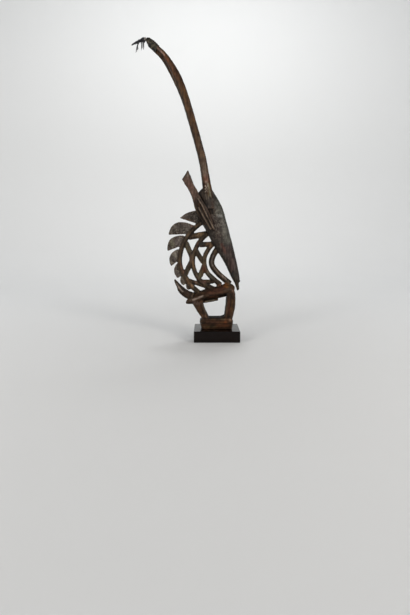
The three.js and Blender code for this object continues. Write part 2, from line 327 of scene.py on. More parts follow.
# The head: forehead x and z, nape or throat x and z, and half width, from the crown to the chin
HEAD = [
    (-28, 615, -61, 607, 24), (-5, 579, -84, 573, 35), (20, 534, -76, 502, 39), (41, 465, -46, 447, 34),
    (60, 396, -11, 382, 28), (80.7, 314, 31, 315, 20), (92.6, 253, 60, 255, 14), (90, 233, 73.5, 232, 9.5),
    (92.5, 207, 83.5, 201, 5),
]
FACE = {"flatness": 0.82, "narrowing": 0.25}
CHIN = [(80, 243), (87, 241), (95, 240)]
head_columns = [column(HEAD, i) for i in range(5)]


def head_place(t, across, depth):
    front_x, front_z, back_x, back_z, width = (line(1 - t)[0].y for line in head_columns)
    reach = (1 + across) / 2
    # Flat cheeks turn into a narrow rounded forehead
    cheek = math.copysign(abs(depth) ** FACE["flatness"], depth)
    y = -width * cheek * (1 - FACE["narrowing"] * across)
    return lerp(back_x, front_x, reach), y, lerp(back_z, front_z, reach)


loft("head", head_place, sides=36, steps=70)
bar("head", CHIN, half=3.4, ridge=6, wall=4, steps=4)

# Ears: a thin slat that leans outwards, with two raised rims down its lower part
EAR_FRONT = [(-114, 670), (-96.5, 624), (-74.5, 584.5), (-51.5, 545), (-34, 515), (-20, 476), (-10, 446)]
EAR_BACK = [
    (-28, 447), (-54, 477), (-77, 505), (-89.5, 532), (-95, 555), (-105.5, 585), (-111, 596), (-117, 607.5),
    (-125.5, 620.5), (-137, 636),
]
RIMS = [
    [(-77, 566), (-62, 543), (-48, 515), (-35, 489), (-13, 449)],
    [(-74, 531), (-62, 509), (-45, 480), (-27, 448)],
]
CHANNEL_END = [(-75, 588), (-71, 562), (-90, 548)]
EAR_ROOT = [(-78, 540), (-58, 505), (-40, 470)]
# How far out from the crest's middle each face of an ear lies, its lean in degrees, and heights in it
EAR = {
    "root": 27, "inner": 33, "rim_middle": 37, "floor": 40, "upper": 45, "rim": 47,
    "lean": 4, "forward": 1.0, "foot": 448, "channel_end": (550, 592),
}


def finer(points, steps=3):
    """An outline with extra points along its smooth line"""
    line = spline(points)
    count = (len(points) - 1) * steps
    return [tuple(line(n / count)[0]) for n in range(count + 1)]


for side in (-1, 1):
    lean = side * math.tan(math.radians(EAR["lean"]))
    # The far ear stands a little straighter, so that the near one hides it in side view
    forward = math.tan(math.radians(EAR["forward"])) if side > 0 else 0

    def leaning(spot, lean=lean, forward=forward):
        up = spot.z - EAR["foot"]
        return spot.x + up * forward, spot.y + up * lean, spot.z

    whole = finer(EAR_FRONT) + finer(EAR_BACK)
    middle = side * (EAR["inner"] + EAR["floor"]) / 2
    slab("ear", whole, EAR["floor"] - EAR["inner"], eased=2, middle=middle, warp=leaning)

    def tapered(spot, leaning=leaning):
        """The upper ear thins to the floor of the channel between the rims"""
        over = max(0, abs(spot.y) - EAR["floor"]) * (1 - smoothstep(spot.z, *EAR["channel_end"]))
        return leaning(Vector((spot.x, spot.y - math.copysign(over, spot.y), spot.z)))

    upper = EAR_FRONT[:2] + CHANNEL_END + EAR_BACK[-5:]
    thick = EAR["upper"] - EAR["inner"]
    slab("ear", upper, thick, eased=3, middle=side * (EAR["inner"] + thick / 2), warp=tapered)
    for rim in RIMS:
        bar(
            "ear", rim, half=2.7, ridge=EAR["rim"] - EAR["rim_middle"], wall=5, steps=24,
            middle=side * EAR["rim_middle"], warp=leaning,
        )
    bar("ear", EAR_ROOT, half=13, ridge=10, wall=8, steps=4, middle=side * EAR["root"], warp=leaning)

# Horns: one middle line for both, which close in on each other towards the tips
HORN_PATH = [
    (-30, 556), (-38, 594), (-45, 636), (-58.5, 715), (-80, 795), (-102, 870), (-124, 941),
    (-147.5, 1002), (-175.5, 1056.5), (-209, 1104), (-257, 1142),
]
HORN = {"base": 18.5, "shaft": 13.6, "tip": 6.9, "point": 0.35, "flat": 0.9, "sag": 9.5}
# Half the gap between their middle lines: at the head, what it gains, and what it loses again at the tips
APART = {"head": 15, "gain": 12, "loss": 19}
# Where each change begins and ends along a horn, from 0 at the head to 1 at the tip
ALONG = {
    "gain": (0, 0.3), "close": (0.55, 0.955), "thin": (0.69, 0.96), "level": (0.93, 1), "point": (0.95, 1),
}
FLARE = {"until": 0.1, "length": 0.32}
horn_line = spline(HORN_PATH)


def horn_middle(t, side):
    """The middle of one horn, and the direction it runs in"""
    centre, along = horn_line(t)
    closing = smoothstep(t, *ALONG["close"])
    # The far horn dips below the near one where they meet
    sag = HORN["sag"] * closing * (1 - 0.5 * smoothstep(t, *ALONG["level"])) if side > 0 else 0
    apart = APART["head"] + APART["gain"] * smoothstep(t, *ALONG["gain"]) - APART["loss"] * closing
    centre = centre + left_of(along) * sag
    return Vector((centre.x, side * apart, centre.y)), Vector((along.x, 0, along.y))


def horn_radius(t):
    flare = min(max(1 - (t - FLARE["until"]) / FLARE["length"], 0), 1) ** 2
    shaft = lerp(HORN["shaft"], HORN["tip"], smoothstep(t, *ALONG["thin"]))
    shaft = shaft * (1 - HORN["point"] * smoothstep(t, *ALONG["point"]))
    return shaft + (HORN["base"] - HORN["shaft"]) * flare


for side in (-1, 1):

    def horn_place(t, across, depth, side=side):
        middle, along = horn_middle(t, side)
        radius = horn_radius(t)
        return (
            middle.x - along.z * radius * across,
            middle.y + HORN["flat"] * radius * depth,
            middle.z + along.x * radius * across,
        )

    loft("horn", horn_place, sides=20, steps=110)


def placed(name, data):
    """An object that is put into the scene"""
    made = bpy.data.objects.new(name, data)
    bpy.context.scene.collection.objects.link(made)
    return made


def solid(rough):
    """The mesh that a rough object's modifiers or its swept curve make. The object itself is removed"""
    mesh = bpy.data.meshes.new_from_object(rough.evaluated_get(bpy.context.evaluated_depsgraph_get()))
    bpy.data.objects.remove(rough)
    return mesh


# All of it becomes one skin, a little softened, as one block of wood
SKIN = {"voxel": 2.39, "soften": 0.5, "times": 3}
bmesh.ops.recalc_face_normals(carving, faces=carving.faces)
parts_tree = BVHTree.FromBMesh(carving)
carving.faces.ensure_lookup_table()
part_of_face = [face[part_layer] - 1 for face in carving.faces]
rough_crest = placed("rough_crest", meshed(carving, "rough_crest"))
remesh = rough_crest.modifiers.new("skin", "REMESH")
remesh.mode = "VOXEL"
remesh.voxel_size = SKIN["voxel"]
soften = rough_crest.modifiers.new("soften", "SMOOTH")
soften.factor = SKIN["soften"]
soften.iterations = SKIN["times"]
crest_mesh = solid(rough_crest)


def measured(items, field, width, kind=float):
    """What a mesh says of its points or edges, one row for each"""
    values = np.empty(len(items) * width, kind)
    items.foreach_get(field, values)
    return values.reshape(-1, width)


points = measured(crest_mesh.vertices, "co", 3)
normals = measured(crest_mesh.vertices, "normal", 3)
edges = measured(crest_mesh.edges, "vertices", 2, np.int32)
count = len(points)
links = np.bincount(edges.ravel(), minlength=count)


def blurred(values, times):
    """Values at the points, each averaged with its neighbours so many times"""
    around = links if values.ndim == 1 else links[:, None]
    for _ in range(times):
        total = np.zeros_like(values)
        np.add.at(total, edges[:, 0], values[edges[:, 1]])
        np.add.at(total, edges[:, 1], values[edges[:, 0]])
        values = (values + total / around) / 2
    return values


part = np.array([part_of_face[parts_tree.find_nearest(Vector(point))[2]] for point in points])
is_part = {name: part == i for i, name in enumerate(PARTS)}


def rippled(size, seed, octaves=2):
    """Soft noise from -1 to 1, with lumps of a size in millimetres"""
    shift = Vector((seed * 7.3, seed * 3.1, seed * 5.7))
    return np.array([
        noise.fractal(Vector(point) + shift, 1.0, 2.0, octaves) for point in points / size
    ])


SCOOP_DEPTH = 3.2


def scooped(size, seed):
    """Shallow adze scoops with sharp edges between them, from -1 at a scoop's middle to 1"""
    shift = Vector((seed * 5.9, seed * 2.3, seed * 8.1))
    near = [noise.voronoi(Vector(point) + shift)[0][0] for point in points / size]
    return np.clip(np.array(near) ** 2 * SCOOP_DEPTH - 1, -1, 1)


side_view = points[:, [0, 2]]


def far_from(path):
    """How far each point is from a line in side view, on the near and the far side alike"""
    nearest = np.full(count, 1e9)
    for start, end in zip(path, path[1:] if len(path) > 1 else path):
        start, step = np.array(start, float), np.array(end, float) - np.array(start, float)
        t = np.clip(((side_view - start) @ step) / max(step @ step, 1e-9), 0, 1)
        nearest = np.minimum(nearest, np.linalg.norm(side_view - start - t[:, None] * step, axis=1))
    return nearest


def faded(distance, width):
    """1 on a line, falling softly to 0 at a width from it"""
    t = np.clip(1 - distance / width, 0, 1)
    return t * t * (3 - 2 * t)


def rising(values, start, width):
    """0 up to a start, then rising evenly to 1 within a width"""
    return np.clip((values - start) / width, 0, 1)


# Relief of the knife and adze, a little softer on the horns. Smoothing took a hair off the skin, so all of
# it is raised again. The sizes of scoops, swells and nicks, and their heights
MARKS = {"scoops": (11, 11, 17), "swells": 16, "nicks": 5}
RELIEF = {"raise": 0.6, "scoops": 0.42, "swells": 0.3, "nicks": 0.12, "horns": 0.9}
relief = RELIEF["raise"] + RELIEF["scoops"] * scooped(MARKS["scoops"], 1)
relief = relief + RELIEF["swells"] * rippled(MARKS["swells"], 2)
relief = relief + RELIEF["nicks"] * rippled(MARKS["nicks"], 3)
relief *= np.where(is_part["horn"], RELIEF["horns"], 1.0)
SIDE_FACING = 0.35
on_side = np.abs(normals[:, 1]) > SIDE_FACING
# The eye is a sunken oblong beside the ear
EYE = {"middle": (-28, 518), "half": (14.5, 13), "depth": 5, "edge": 2.8, "dark": 0.96, "colour": "#1e150d"}
eye = np.abs(side_view - EYE["middle"]) / EYE["half"]
eye = np.clip((1 - eye.max(axis=1)) * EYE["edge"], 0, 1) * on_side * is_part["head"]
relief -= EYE["depth"] * eye
# Lines cut along the outer side of each ear rim, one under the ear's edge, and one that parts muzzle and
# throat: part, line in side view, width, depth
CUTS = [
    ("ear", [(-70, 560), (-55, 534), (-41, 507), (-22, 468)], 3.5, 1.2),
    ("ear", [(-80, 526), (-67, 503), (-50, 476), (-38, 458)], 3.5, 1.2),
    ("head", [(-74, 586), (-60, 562), (-50, 543), (-38, 522), (-28, 500), (-14, 470)], 7, 4),
    ("head", [(47, 330), (66, 262), (78, 222)], 2.6, 0.8),
]
for name, path, width, depth in CUTS:
    relief -= depth * faded(far_from(path), width) * on_side * is_part[name]

points = points + normals * relief[:, None]
side_view = points[:, [0, 2]]
crest_mesh.vertices.foreach_set("co", points.ravel())
crest_mesh.update()
normals = measured(crest_mesh.vertices, "normal", 3)

# Worn where a broad face stands proud of its surroundings, and grimed and painted in shade where it lies
# low: rounds of averaging, and the height that counts in full
WEAR = [(10, 1.6), (2, 0.5)]
bulges = [((points - blurred(points, rounds)) * normals).sum(1) / full for rounds, full in WEAR]
standing_out = blurred(np.clip(bulges[0] + bulges[1], -1, 1), 1)
sideways = rising(np.abs(normals[:, 1]), start=0.3, width=0.5)
standing_out = np.where(standing_out > 0, standing_out * sideways, standing_out)


def linear(colour):
    """A colour written as sRGB hex, as the linear values that shaders use"""
    channels = [int(colour[i:i + 2], 16) / 255 for i in (1, 3, 5)]
    return np.array([c / 12.92 if c <= 0.04045 else ((c + 0.055) / 1.055) ** 2.4 for c in channels])


# Two tones of patina for each part, mottled into each other, how dark its narrow edges are painted, with
# soot and with shade where those faces turn from the light, and how much of the light all of its colours
# keep under the oil
TONES = {
    "block": ("#4a301c", "#2a1c11", 0.5, 0.82),
    "leg": ("#483120", "#271b12", 0.6, 0.82),
    "body": ("#46301f", "#271a11", 0.45, 0.82),
    "tail": ("#3f2d21", "#1f1610", 0.65, 0.7),
    "bar": ("#4a3c2c", "#261e16", 0.85, 1.0),
    "fin": ("#4f4945", "#352f2b", 0.8, 1.15),
    "head": ("#453e3a", "#29231f", 0.6, 0.82),
    "ear": ("#43342a", "#261d17", 0.65, 1.0),
    "horn": ("#5e4026", "#33231a", 0.6, 0.66),
}
MOTTLE = {"size": 26, "contrast": 0.9}
mottle = np.clip(0.5 + MOTTLE["contrast"] * rippled(MOTTLE["size"], 11, 3), 0, 1)[:, None]
# The colour of each point: patina, with painted highlights and painted shade laid over it below
colour_and_painted_light = np.zeros((count, 3))
edging, kept = np.zeros(count), np.ones(count)
for name, (light, dark, edge, keeps) in TONES.items():
    tone = linear(light) * mottle + linear(dark) * (1 - mottle)
    colour_and_painted_light[is_part[name]] = tone[is_part[name]]
    edging[is_part[name]] = edge
    kept[is_part[name]] = keeps
colour_and_painted_light = blurred(colour_and_painted_light, 3)


def beside(path, offset, first, last, steps=12):
    """The stretch of a smooth line from first to last, moved to its left"""
    line = spline(path)
    spots = [line(lerp(first, last, n / steps)) for n in range(steps + 1)]
    return [tuple(spot + left_of(along) * offset) for spot, along in spots]


# Patina that years of oil, smoke and hands have left, with painted highlights and painted shade laid
# among it: parts, line in side view, width, colour, strength
PATINA_AND_PAINTED_LIGHT = [
    # The pinkish upper ear, with dark edges, its two pale rims and the dark lines beside them
    ("ear", [(-120, 640), (-108, 612), (-86, 574)], 22, "#5d4a41", 0.85),
    ("ear", [(-110, 620), (-102, 606)], 9, "#684a40", 0.6),
    ("ear", [(-119, 652), (-116, 650)], 7, "#716960", 0.7),
    ("ear", [(-103, 655), (-96, 632), (-80, 599)], 4.5, "#2c1e15", 0.8),
    ("ear", [(-135, 634), (-115, 665)], 5, "#2e2a24", 0.8),
    ("ear", [(-96, 553), (-89, 528), (-76, 505)], 7, "#322d22", 0.65),
    ("ear", [(-70, 545), (-34, 472)], 8, "#38271a", 0.85),
    ("ear", [(-71, 541), (-68, 536)], 7, "#3d260e", 0.8),
    ("ear", [(-80, 524), (-66, 500), (-50, 474)], 5, "#1c1610", 0.85),
    ("ear", [(-68, 556), (-52, 528), (-38, 500), (-24, 470)], 3.5, "#231910", 0.7),
    ("ear", [(-77, 566), (-62, 543), (-48, 515), (-35, 489), (-13, 449)], 2.7, "#817264", 0.95),
    ("ear", [(-74, 531), (-62, 509), (-45, 480), (-27, 448)], 2.7, "#7a6c5e", 0.95),
    ("ear head", [(-30, 506), (-14, 470)], 5, "#4a291c", 0.6),
    # The face: painted shade, black, where the ear shades it, a dark eye, a pale crust on the forehead with a
    # painted highlight over its front, a violet-brown muzzle
    # Painted shade under the ear's edge
    ("head", [(-76, 590), (-61, 563), (-49, 542)], 13, "#120c08", 0.97),
    ("head", [(-48, 545), (-38, 530)], 12, "#232022", 0.85),
    ("head", [(-62, 597), (-46, 574)], 12, "#2f2920", 0.6),
    ("head", [(-30, 562), (-14, 548)], 14, "#40372f", 0.6),
    # Pale forehead: crust, with a painted highlight from the light on the right
    ("head", [(2, 545), (20, 500), (31, 455), (42, 400)], 20, "#555550", 0.75),
    ("head", [(-6, 578), (18, 534), (38, 466)], 4.5, "#3b443e", 0.6),
    ("head", [(4, 501), (16, 500)], 7.5, "#8b8a85", 0.85),
    ("head", [(-5, 509), (3, 525)], 6, "#6c6a61", 0.7),
    ("head", [(22, 482), (26, 470)], 10, "#77716a", 0.7),
    ("head", [(27, 440), (40, 405)], 10, "#66635a", 0.65),
    ("head", [(-16, 470), (6, 425)], 16, "#483c37", 0.6),
    ("head", [(-20, 552), (-17, 532)], 7, "#422a1c", 0.75),
    ("head", [(45, 372), (62, 300)], 20, "#382927", 0.9),
    ("head", [(19, 390), (31, 358)], 7, "#5b342b", 0.75),
    ("head", [(52, 360), (66, 310)], 4, "#57463f", 0.6),
    ("head", [(70, 262), (84, 212)], 18, "#27261c", 0.85),
    ("head", [(64, 272), (66, 262)], 7, "#343b3d", 0.7),
    ("head", [(18, 350), (60, 262)], 5, "#1c1813", 0.7),
    ("head", [(84, 302), (89, 258)], 6, "#342b1e", 0.6),
    # The horns: reddish at the foot with painted highlights down their lit side, golden-brown higher up, and
    # a painted highlight along the seam where they meet near the tips
    ("horn", [(-46, 655), (-44, 632)], 9, "#8a5f50", 0.9),
    # Pale streaks at the foot: painted highlights
    ("horn", [(-45, 630), (-39, 619)], 4.6, "#9b8d80", 0.85),
    ("horn head", [(-37, 622), (-33, 604), (-29.5, 577)], 3.3, "#8a8870", 0.85),
    ("horn head", [(-45, 588), (-43, 564)], 2.8, "#6d6152", 0.7),
    ("horn head", [(-38, 588), (-36, 568)], 2.8, "#6d6450", 0.7),
    ("horn head", [(-28, 592), (-25, 572)], 3, "#8f8672", 0.6),
    ("horn", [(-63, 725), (-85, 805), (-104, 868)], 5, "#634a33", 0.6),
    ("horn", [(-77, 790), (-62, 735)], 9, "#5f4d3e", 0.6),
    ("horn", [(-60, 722), (-56, 700)], 13, "#6b5b4c", 0.6),
    ("horn", [(-55, 690), (-50, 660)], 15, "#7e6e60", 0.8),
    ("horn", [(-112, 890), (-140, 975)], 6, "#684a30", 0.6),
    ("horn", [(-150, 1000), (-186, 1068)], 7, "#6a442c", 0.75),
    ("horn", [(-198, 1088), (-188, 1072)], 6, "#7c452c", 0.85),
    ("horn", [(-233, 1103), (-196, 1045), (-170, 990)], 5, "#463a2e", 0.7),
    ("horn", [(-176, 1032), (-163, 1000)], 2.5, "#6d584a", 0.7),
    # Painted highlight along the seam where the two horns meet
    ("horn", [(-223, 1114.5), (-211, 1102), (-200, 1090)], 3, "#a38272", 0.95),
    ("horn", [(-226, 1127), (-192, 1097), (-168, 1055)], 5, "#2c2119", 0.8),
    ("horn", [(-236, 1102), (-208, 1066), (-188, 1030)], 5, "#34261c", 0.7),
    ("horn", [(-243, 1133), (-216, 1108)], 8, "#65514a", 0.9),
    ("horn", [(-240, 1137), (-214, 1113)], 5, "#38221c", 0.9),
    ("horn", [(-240, 1108), (-218, 1087)], 5, "#2f1d15", 0.9),
    # The fins: grey with pale scuffs, painted shade in black along their lower edges, rust-brown where they
    # join the arc
    ("fin", [(-178, 453), (-185, 436)], 7, "#726c60", 0.8),
    ("fin", [(-180, 458), (-175, 446)], 2.5, "#2a241f", 0.7),
    # Painted shade along a fin's lower edge
    ("fin", [(-184, 429), (-160, 433), (-134, 436)], 3, "#14100d", 0.9),
    ("fin", [(-100, 462), (-92, 460)], 9, "#5f4237", 0.75),
    ("fin", [(-184, 396), (-180, 388)], 12, "#66634f", 0.85),
    ("fin", [(-160, 408), (-150, 400)], 12, "#453d3b", 0.6),
    ("fin", [(-180, 446), (-120, 452)], 20, "#332e2a", 0.75),
    ("fin", [(-146, 398), (-141, 392)], 5, "#6a554c", 0.7),
    # Painted shade along a fin's lower edge
    ("fin", [(-193, 368), (-160, 384)], 3, "#14100d", 0.9),
    ("fin", [(-180, 354), (-170, 345)], 10, "#847d71", 0.85),
    ("fin", [(-186, 325), (-168, 318)], 3, "#1b1714", 0.7),
    ("fin", [(-150, 292), (-140, 282)], 12, "#4d382b", 0.7),
    ("fin", [(-142, 488), (-96, 482)], 17, "#372e27", 0.7),
    ("fin", [(-128, 486), (-106, 484)], 5, "#5a4434", 0.6),
    # Painted shade along a fin's lower edge
    ("fin", [(-140, 490), (-86, 475)], 3, "#181310", 0.85),
    ("fin", [(-158, 266), (-156, 260)], 5, "#17130f", 0.8),
    ("fin", [(-147, 258), (-137, 236)], 13, "#423b31", 0.75),
    ("fin", [(-124, 234), (-114, 214)], 14, "#33291f", 0.85),
    # The mane's bars: dark along the inner side of the arcs, a painted highlight down the throat bar's
    # ridge, rust at the joints, gold where hands hold it
    ("bar", beside(OUTER_ARC, 7, 0.08, 0.62), 5, "#0e0a07", 0.92),
    ("bar", beside(INNER_ARC, 6.5, 0.1, 0.5), 4.5, "#120d09", 0.85),
    ("bar", beside(INNER_ARC, -6.5, 0.62, 0.9), 4, "#120d09", 0.7),
    ("bar", beside(THROAT_BAR, -7.5, 0.16, 0.86), 6, "#0c0a0a", 0.95),
    # Painted highlight along the throat bar's ridge
    ("bar", beside(THROAT_BAR, 0.5, 0.2, 0.55), 3.2, "#6c6563", 0.9),
    ("bar", beside(THROAT_BAR, 3.5, 0.5, 0.93), 3.0, "#6c5e57", 0.8),
    ("bar", [(21, 266), (35, 251)], 4, "#84746a", 0.9),
    ("bar", [(-147, 312), (-136, 280)], 9, "#4c3021", 0.8),
    ("bar", [(-120, 246), (-104, 222)], 10, "#6e5339", 0.85),
    ("bar", [(-76, 434), (-60, 432)], 10, "#5c4a34", 0.75),
    ("bar", [(-104, 414), (-80, 419)], 3.5, "#15110f", 0.85),
    ("bar", [(-122, 386), (-112, 360)], 6, "#54513f", 0.75),
    ("bar", [(-126, 294), (-117, 282)], 8, "#3f3f32", 0.6),
    ("bar", [(-82, 398), (-77, 386)], 8, "#503326", 0.65),
    ("bar", [(-98, 322), (-92, 288)], 4.5, "#614729", 0.75),
    ("bar", [(-106, 342), (-104, 322)], 8, "#503d32", 0.7),
    ("bar", [(-103, 358), (-102, 355)], 4, "#120d08", 0.85),
    ("bar", [(-36, 392), (-22, 378)], 11, "#503a28", 0.75),
    ("bar", [(-40, 274), (-20, 254)], 7, "#42423a", 0.65),
    ("bar", [(-56, 298), (-50, 286)], 12, "#482519", 0.85),
    ("bar", [(-72, 268), (-66, 258)], 7, "#4b4931", 0.75),
    ("bar", [(-70, 390), (-54, 391)], 9, "#2d3030", 0.8),
    ("bar", [(-90, 237), (-84, 235)], 5, "#6f5a51", 0.8),
    ("bar", [(-62, 240), (-46, 238)], 8, "#50362f", 0.75),
    ("bar", [(-96, 230), (-70, 222)], 3, "#17100b", 0.8),
    # The chest and the body: gold at the foot of the throat bar, rust-red flanks, painted shade in black
    # below, and painted highlights on the flank's ridge, the shoulder, the haunch and the rump
    ("bar body", [(34, 226), (40, 224)], 11, "#87552b", 0.95),
    ("bar body", [(48, 222), (60, 222)], 10, "#523d24", 0.7),
    ("bar body", [(8, 224), (28, 219)], 7, "#623722", 0.65),
    ("body", [(-38, 196), (26, 206)], 14, "#4c3025", 0.75),
    ("body", [(-26, 192), (-16, 193)], 9, "#664130", 0.75),
    ("body", [(-32, 178), (-4, 181)], 6, "#341a0f", 0.85),
    ("body", [(-80, 196), (-48, 203)], 9, "#3d3128", 0.6),
    # Painted shade on the lower face of the chest
    ("body leg", [(30, 192), (62, 190)], 8, "#1b130d", 0.85),
    # Painted highlight on the flank's ridge
    ("body leg", [(32, 204), (56, 206)], 4.5, "#5b4e44", 0.65),
    # Painted shade under the body
    ("body", [(5, 181), (36, 185)], 4, "#0b0704", 0.95),
    ("body", [(-62, 173), (-46, 168), (0, 171)], 7, "#130d08", 0.85),
    ("body", [(-46, 156.5), (-12, 163)], 2.4, "#857f6e", 0.9),
    # Painted highlights on the shoulder and along the haunch's upper edge
    ("body leg", [(63, 203), (65, 203)], 4, "#77655a", 0.8),
    ("body leg", [(-97, 167), (-86, 171), (-58, 182.5)], 4.2, "#a29186", 0.95),
    ("body leg", [(-97, 166), (-92, 167)], 6, "#9c897d", 0.9),
    ("body leg", [(-92, 156), (-76, 151)], 10, "#5a4840", 0.8),
    # Painted highlight down the rump
    ("body leg tail", [(-98, 188), (-106, 171), (-115, 159)], 5, "#5f5040", 0.85),
    ("body leg", [(-125, 153), (-112, 152)], 7, "#201f19", 0.85),
    # The tail: a painted highlight along its ridge, painted shade along its upper edge, and a dark outer edge
    # Painted shade along the upper edge
    ("tail", [(-160, 240), (-140, 217), (-117, 203)], 5, "#130d09", 0.9),
    ("tail", [(-167, 215), (-154, 195), (-138, 181), (-122, 174)], 4, "#150f0a", 0.85),
    ("tail", [(-142, 200), (-114, 187)], 7, "#43312a", 0.7),
    # Painted highlight along the ridge
    ("tail", [(-165, 230), (-155.5, 214), (-141, 198.5)], 3.3, "#a9998e", 0.95),
    # The legs and the block: rubbed red and gold down the front leg, a pale scuff on the hind foot, and a
    # painted highlight on the front foot
    ("leg", [(-58, 146), (-50, 126), (-43, 108)], 3.2, "#615747", 0.7),
    ("leg", [(-92, 142), (-72, 108)], 3, "#272019", 0.7),
    ("leg block", [(-46, 100), (-42, 90)], 7, "#6b513f", 0.75),
    ("leg", [(38.5, 172), (37, 128)], 3, "#120e0b", 0.85),
    ("leg", [(43.5, 155), (42, 118)], 3, "#4b4136", 0.6),
    ("leg", [(50, 158), (48, 112)], 8, "#4f2b19", 0.85),
    ("leg", [(60, 165), (60, 120)], 5, "#4f381f", 0.75),
    ("leg", [(71, 155), (68, 115)], 4, "#28251a", 0.7),
    # Painted highlight on the front foot
    ("leg block", [(53, 90), (54, 82)], 6, "#7c6050", 0.85),
    ("leg block", [(33, 79), (35, 70)], 8, "#63331a", 0.85),
    ("block", [(-40, 76), (5, 74)], 6, "#4f352a", 0.75),
    ("block", [(-42, 56), (-6, 56)], 6, "#383120", 0.75),
    ("block", [(8, 60), (42, 63)], 9, "#512f1d", 0.75),
    ("block", [(16, 90), (30, 87)], 6, "#63553f", 0.7),
    ("block", [(-64, 74), (-61, 52)], 7, "#241b13", 0.75),
    ("block", [(-53, 57), (-51, 54)], 5, "#54453a", 0.6),
]
# Each stroke is laid on in soft patches, as soot and handling leave patina, and the painted highlights
# and shade are laid on the same way
STROKE = {"patch": 7, "usual": 0.85, "uneven": 0.55, "least": 0.25, "wider": 1.15, "fall": 0.7}
patchy = STROKE["usual"] + STROKE["uneven"] * rippled(STROKE["patch"], 21, 3)
patchy = np.clip(patchy, STROKE["least"], 1)
for names, path, width, colour, strength in PATINA_AND_PAINTED_LIGHT:
    amount = faded(far_from(path), width * STROKE["wider"]) ** STROKE["fall"] * strength * patchy
    amount *= np.any([is_part[name] for name in names.split()], axis=0)
    colour_and_painted_light = colour_and_painted_light * (1 - amount[:, None]) + linear(colour) * amount[:, None]

# Small notches round the foot of each horn, painted as a chequer: light squares for their lit faces and
# dark squares for their shaded ones
CHEQUER = {"from": (-50.5, 590), "step": 5.2, "rows": 5, "columns": 2.5, "side_facing": 0.3}
NOTCH_LIGHT_AND_SHADE = {"dark": "#33211a", "light": "#9a8b7c"}
across, upward = ((side_view - CHEQUER["from"]) / CHEQUER["step"]).T
inside = (across > 0) & (across < CHEQUER["columns"]) & (upward > 0) & (upward < CHEQUER["rows"])
inside &= (is_part["horn"] | is_part["head"]) & (np.abs(normals[:, 1]) > CHEQUER["side_facing"])
dark_square = (np.floor(across) + np.floor(upward)) % 2 > 0.5
colour_and_painted_light[inside & dark_square] = linear(NOTCH_LIGHT_AND_SHADE["dark"])
colour_and_painted_light[inside & ~dark_square] = linear(NOTCH_LIGHT_AND_SHADE["light"])

# Narrow edges are never rubbed and stay black with soot, and are painted darker still as shade where they
# turn from the light
NARROW = {"below": 0.8, "fade": 0.5}
narrow_soot_and_shade = np.clip((NARROW["below"] - blurred(np.abs(normals[:, 1]), 2)) / NARROW["fade"], 0, 1)
colour_and_painted_light *= (1 - edging * narrow_soot_and_shade)[:, None]
# Blotches where the oil soaked in unevenly. It didn't darken what is rubbed pale, nor the painted
# highlights
BLOTCH = {"size": 13, "contrast": 0.42}
rubbed_and_highlit = rising(colour_and_painted_light.mean(axis=1), start=0.09, width=0.12)
soaked = np.exp(BLOTCH["contrast"] * rippled(BLOTCH["size"], 31, 3))
colour_and_painted_light *= (lerp(kept, 1, rubbed_and_highlit) * soaked)[:, None]
# The block's top, between the feet, is painted dark as the shade under the body
BLOCK_TOP_SHADE = {"upright": 0.45, "keeps": 0.3}
on_top = is_part["block"] & (normals[:, 2] > BLOCK_TOP_SHADE["upright"])
colour_and_painted_light[on_top] = colour_and_painted_light[on_top] * BLOCK_TOP_SHADE["keeps"]
colour_and_painted_light = blurred(colour_and_painted_light, 1)
colour_and_painted_light = colour_and_painted_light * (1 - EYE["dark"] * eye[:, None]) + linear(EYE["colour"]) * EYE["dark"] * eye[:, None]
# A pale crust covers the fins and the middle of the forehead
CRUST = {"middle": (14, 480), "half": (34, 70), "fins": 0.85}
crust = np.exp(-(((side_view - CRUST["middle"]) / CRUST["half"]) ** 2).sum(axis=1)) * is_part["head"]
crust = np.maximum(crust, CRUST["fins"] * is_part["fin"]) * (1 - eye)
# Upward faces hold dust, which dulls them
dusty = rising(normals[:, 2], start=0.5, width=0.4)
# Tool marks run along the body and the base block, and upright on all else
lying = blurred(1.0 * (is_part["block"] | is_part["body"]), 2)

crest_mesh.transform(Matrix.Scale(MM, 4))
colour_layer = crest_mesh.attributes.new("colour_and_painted_light", "FLOAT_COLOR", "POINT")
colour_layer.data.foreach_set("color", np.column_stack([colour_and_painted_light, np.ones(count)]).ravel())


def note(mesh, name, values):
    """Keeps a value for each point of a mesh, for its material to read"""
    mesh.attributes.new(name, "FLOAT", "POINT").data.foreach_set("value", np.array(values, np.float32))


def smooth_faced(mesh):
    mesh.polygons.foreach_set("use_smooth", [True] * len(mesh.polygons))
    return mesh


for name, values in (("standing_out", standing_out), ("crust", blurred(crust, 2)), ("dusty", dusty), ("lying", lying)):
    note(crest_mesh, name, values)
crest = placed("carved_crest", smooth_faced(crest_mesh))


def add(tree, kind, feeds=None, stops=None, **settings):
    """Adds a node with its settings. feeds gives its sockets values, or the sockets that feed them"""
    made = tree.nodes.new(kind)
    for name, value in settings.items():
        setattr(made, name, value)
    for name, value in (feeds or {}).items():
        if isinstance(value, bpy.types.NodeSocket):
            tree.links.new(value, made.inputs[name])
        else:
            made.inputs[name].default_value = value
    if stops:
        ramp = made.color_ramp
        while len(ramp.elements) < len(stops):
            ramp.elements.new(0.5)
        for element, (position, value) in zip(ramp.elements, stops):
            element.position = position
            element.color = (*value, 1) if hasattr(value, "__len__") else (value, value, value, 1)
    return made


def material(name):
    made = bpy.data.materials.new(name)
    made.use_nodes = True
    made.node_tree.nodes.clear()
    return made, made.node_tree


